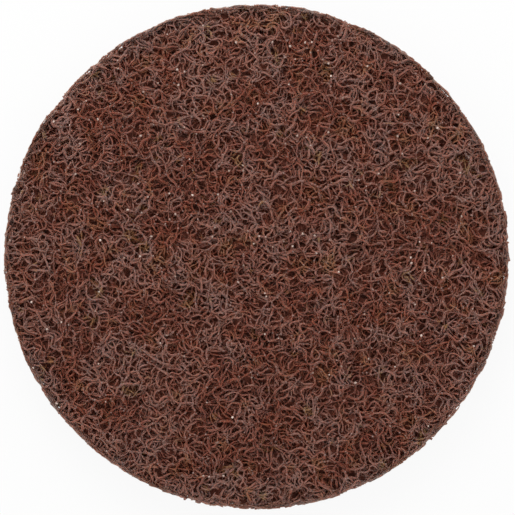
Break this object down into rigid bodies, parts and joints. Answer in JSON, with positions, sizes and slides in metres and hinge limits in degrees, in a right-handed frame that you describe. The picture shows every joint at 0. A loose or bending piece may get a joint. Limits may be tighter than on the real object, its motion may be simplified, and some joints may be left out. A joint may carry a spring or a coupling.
{
  "type": "surface conditioning disc",
  "caption": "Round, lofty pad of crimped nylon fibre and abrasive grain on a woven scrim, for cleaning and blending metal on a hook-faced backing pad.",
  "frame": {"origin": "centre of the plane that the back's yarns rest on", "axes": "+Z out of the abrasive face, +X and +Y along the scrim's yarns"},
  "size_m": [0.05, 0.05, 0.006],
  "materials": {
    "abrasive_fibre": "matte brown nylon fibre, coated with resin and coarse grain",
    "scrim_yarn": "matte woven yarn, stiffened with brown resin"
  },
  "bodies": {
    "root": {"abrasive_web": "abrasive_fibre", "woven_scrim": "scrim_yarn"}
  },
  "joints": []
}
